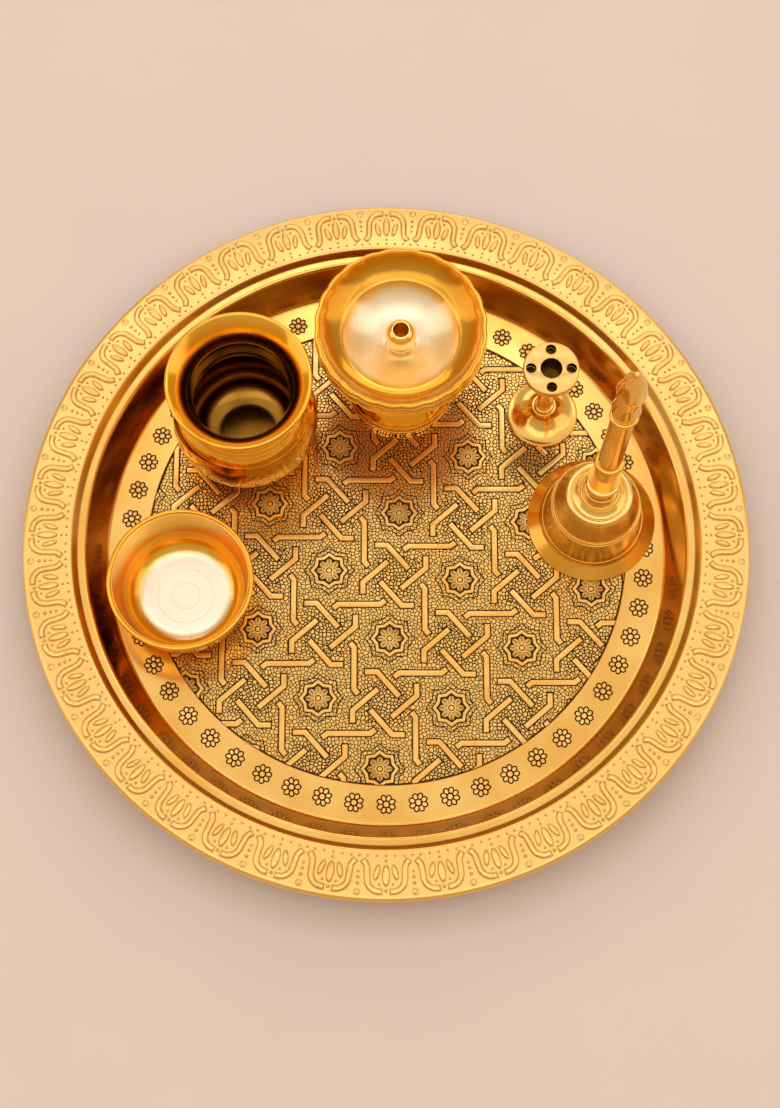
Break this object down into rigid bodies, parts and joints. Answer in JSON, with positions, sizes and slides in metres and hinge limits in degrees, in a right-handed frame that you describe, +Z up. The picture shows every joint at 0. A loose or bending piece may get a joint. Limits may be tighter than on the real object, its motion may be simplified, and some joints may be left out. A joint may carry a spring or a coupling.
{
  "type": "puja thali",
  "caption": "Round brass puja tray with an engraved floor and an embossed rim, carrying a water pot, a bowl, a footed oil lamp, an incense stand and a hand bell.",
  "frame": {"origin": "centre of the tray's underside", "axes": "+Z up; +Y towards the back, where the vessels stand; +X right"},
  "size_m": [0.3, 0.3, 0.1634],
  "materials": {
    "tray_brass": "polished, black patina in the engraving",
    "pot_brass": "polished",
    "bowl_brass": "polished, turned rings inside",
    "lamp_brass": "polished",
    "stand_brass": "polished",
    "bell_brass": "satin",
    "clapper_brass": "as cast"
  },
  "bodies": {
    "tray": {"thali_tray": "tray_brass"},
    "lota": {"lota_body": "pot_brass", "lota_neck": "pot_brass"},
    "katori": {"katori_bowl": "bowl_brass"},
    "diya": {"diya_foot": "lamp_brass", "diya_bowl": "lamp_brass", "diya_wick_post": "lamp_brass"},
    "incense_stand": {"incense_base": "stand_brass", "incense_stem": "stand_brass", "incense_head": "stand_brass"},
    "bell": {"bell_cup": "bell_brass", "bell_handle": "bell_brass", "bell_clapper_eye": "clapper_brass"},
    "clapper": {"bell_clapper_rod": "clapper_brass", "bell_clapper_ball": "clapper_brass"}
  },
  "joints": [
    {"name": "lota_lift", "type": "slide", "parent": "tray", "child": "lota", "axis": [0, 0, 1], "range_m": [0, 0.12]},
    {"name": "katori_lift", "type": "slide", "parent": "tray", "child": "katori", "axis": [0, 0, 1], "range_m": [0, 0.12]},
    {"name": "diya_lift", "type": "slide", "parent": "tray", "child": "diya", "axis": [0, 0, 1], "range_m": [0, 0.12]},
    {"name": "incense_stand_lift", "type": "slide", "parent": "tray", "child": "incense_stand", "axis": [0, 0, 1], "range_m": [0, 0.12]},
    {"name": "bell_lift", "type": "slide", "parent": "tray", "child": "bell", "axis": [0, 0, 1], "range_m": [0, 0.12]},
    {"name": "clapper_swing", "type": "hinge", "parent": "bell", "child": "clapper", "pos_m": [0.08651, 0.01245, 0.0354], "axis": [1, 0, 0], "range_deg": [-29, 29]}
  ]
}
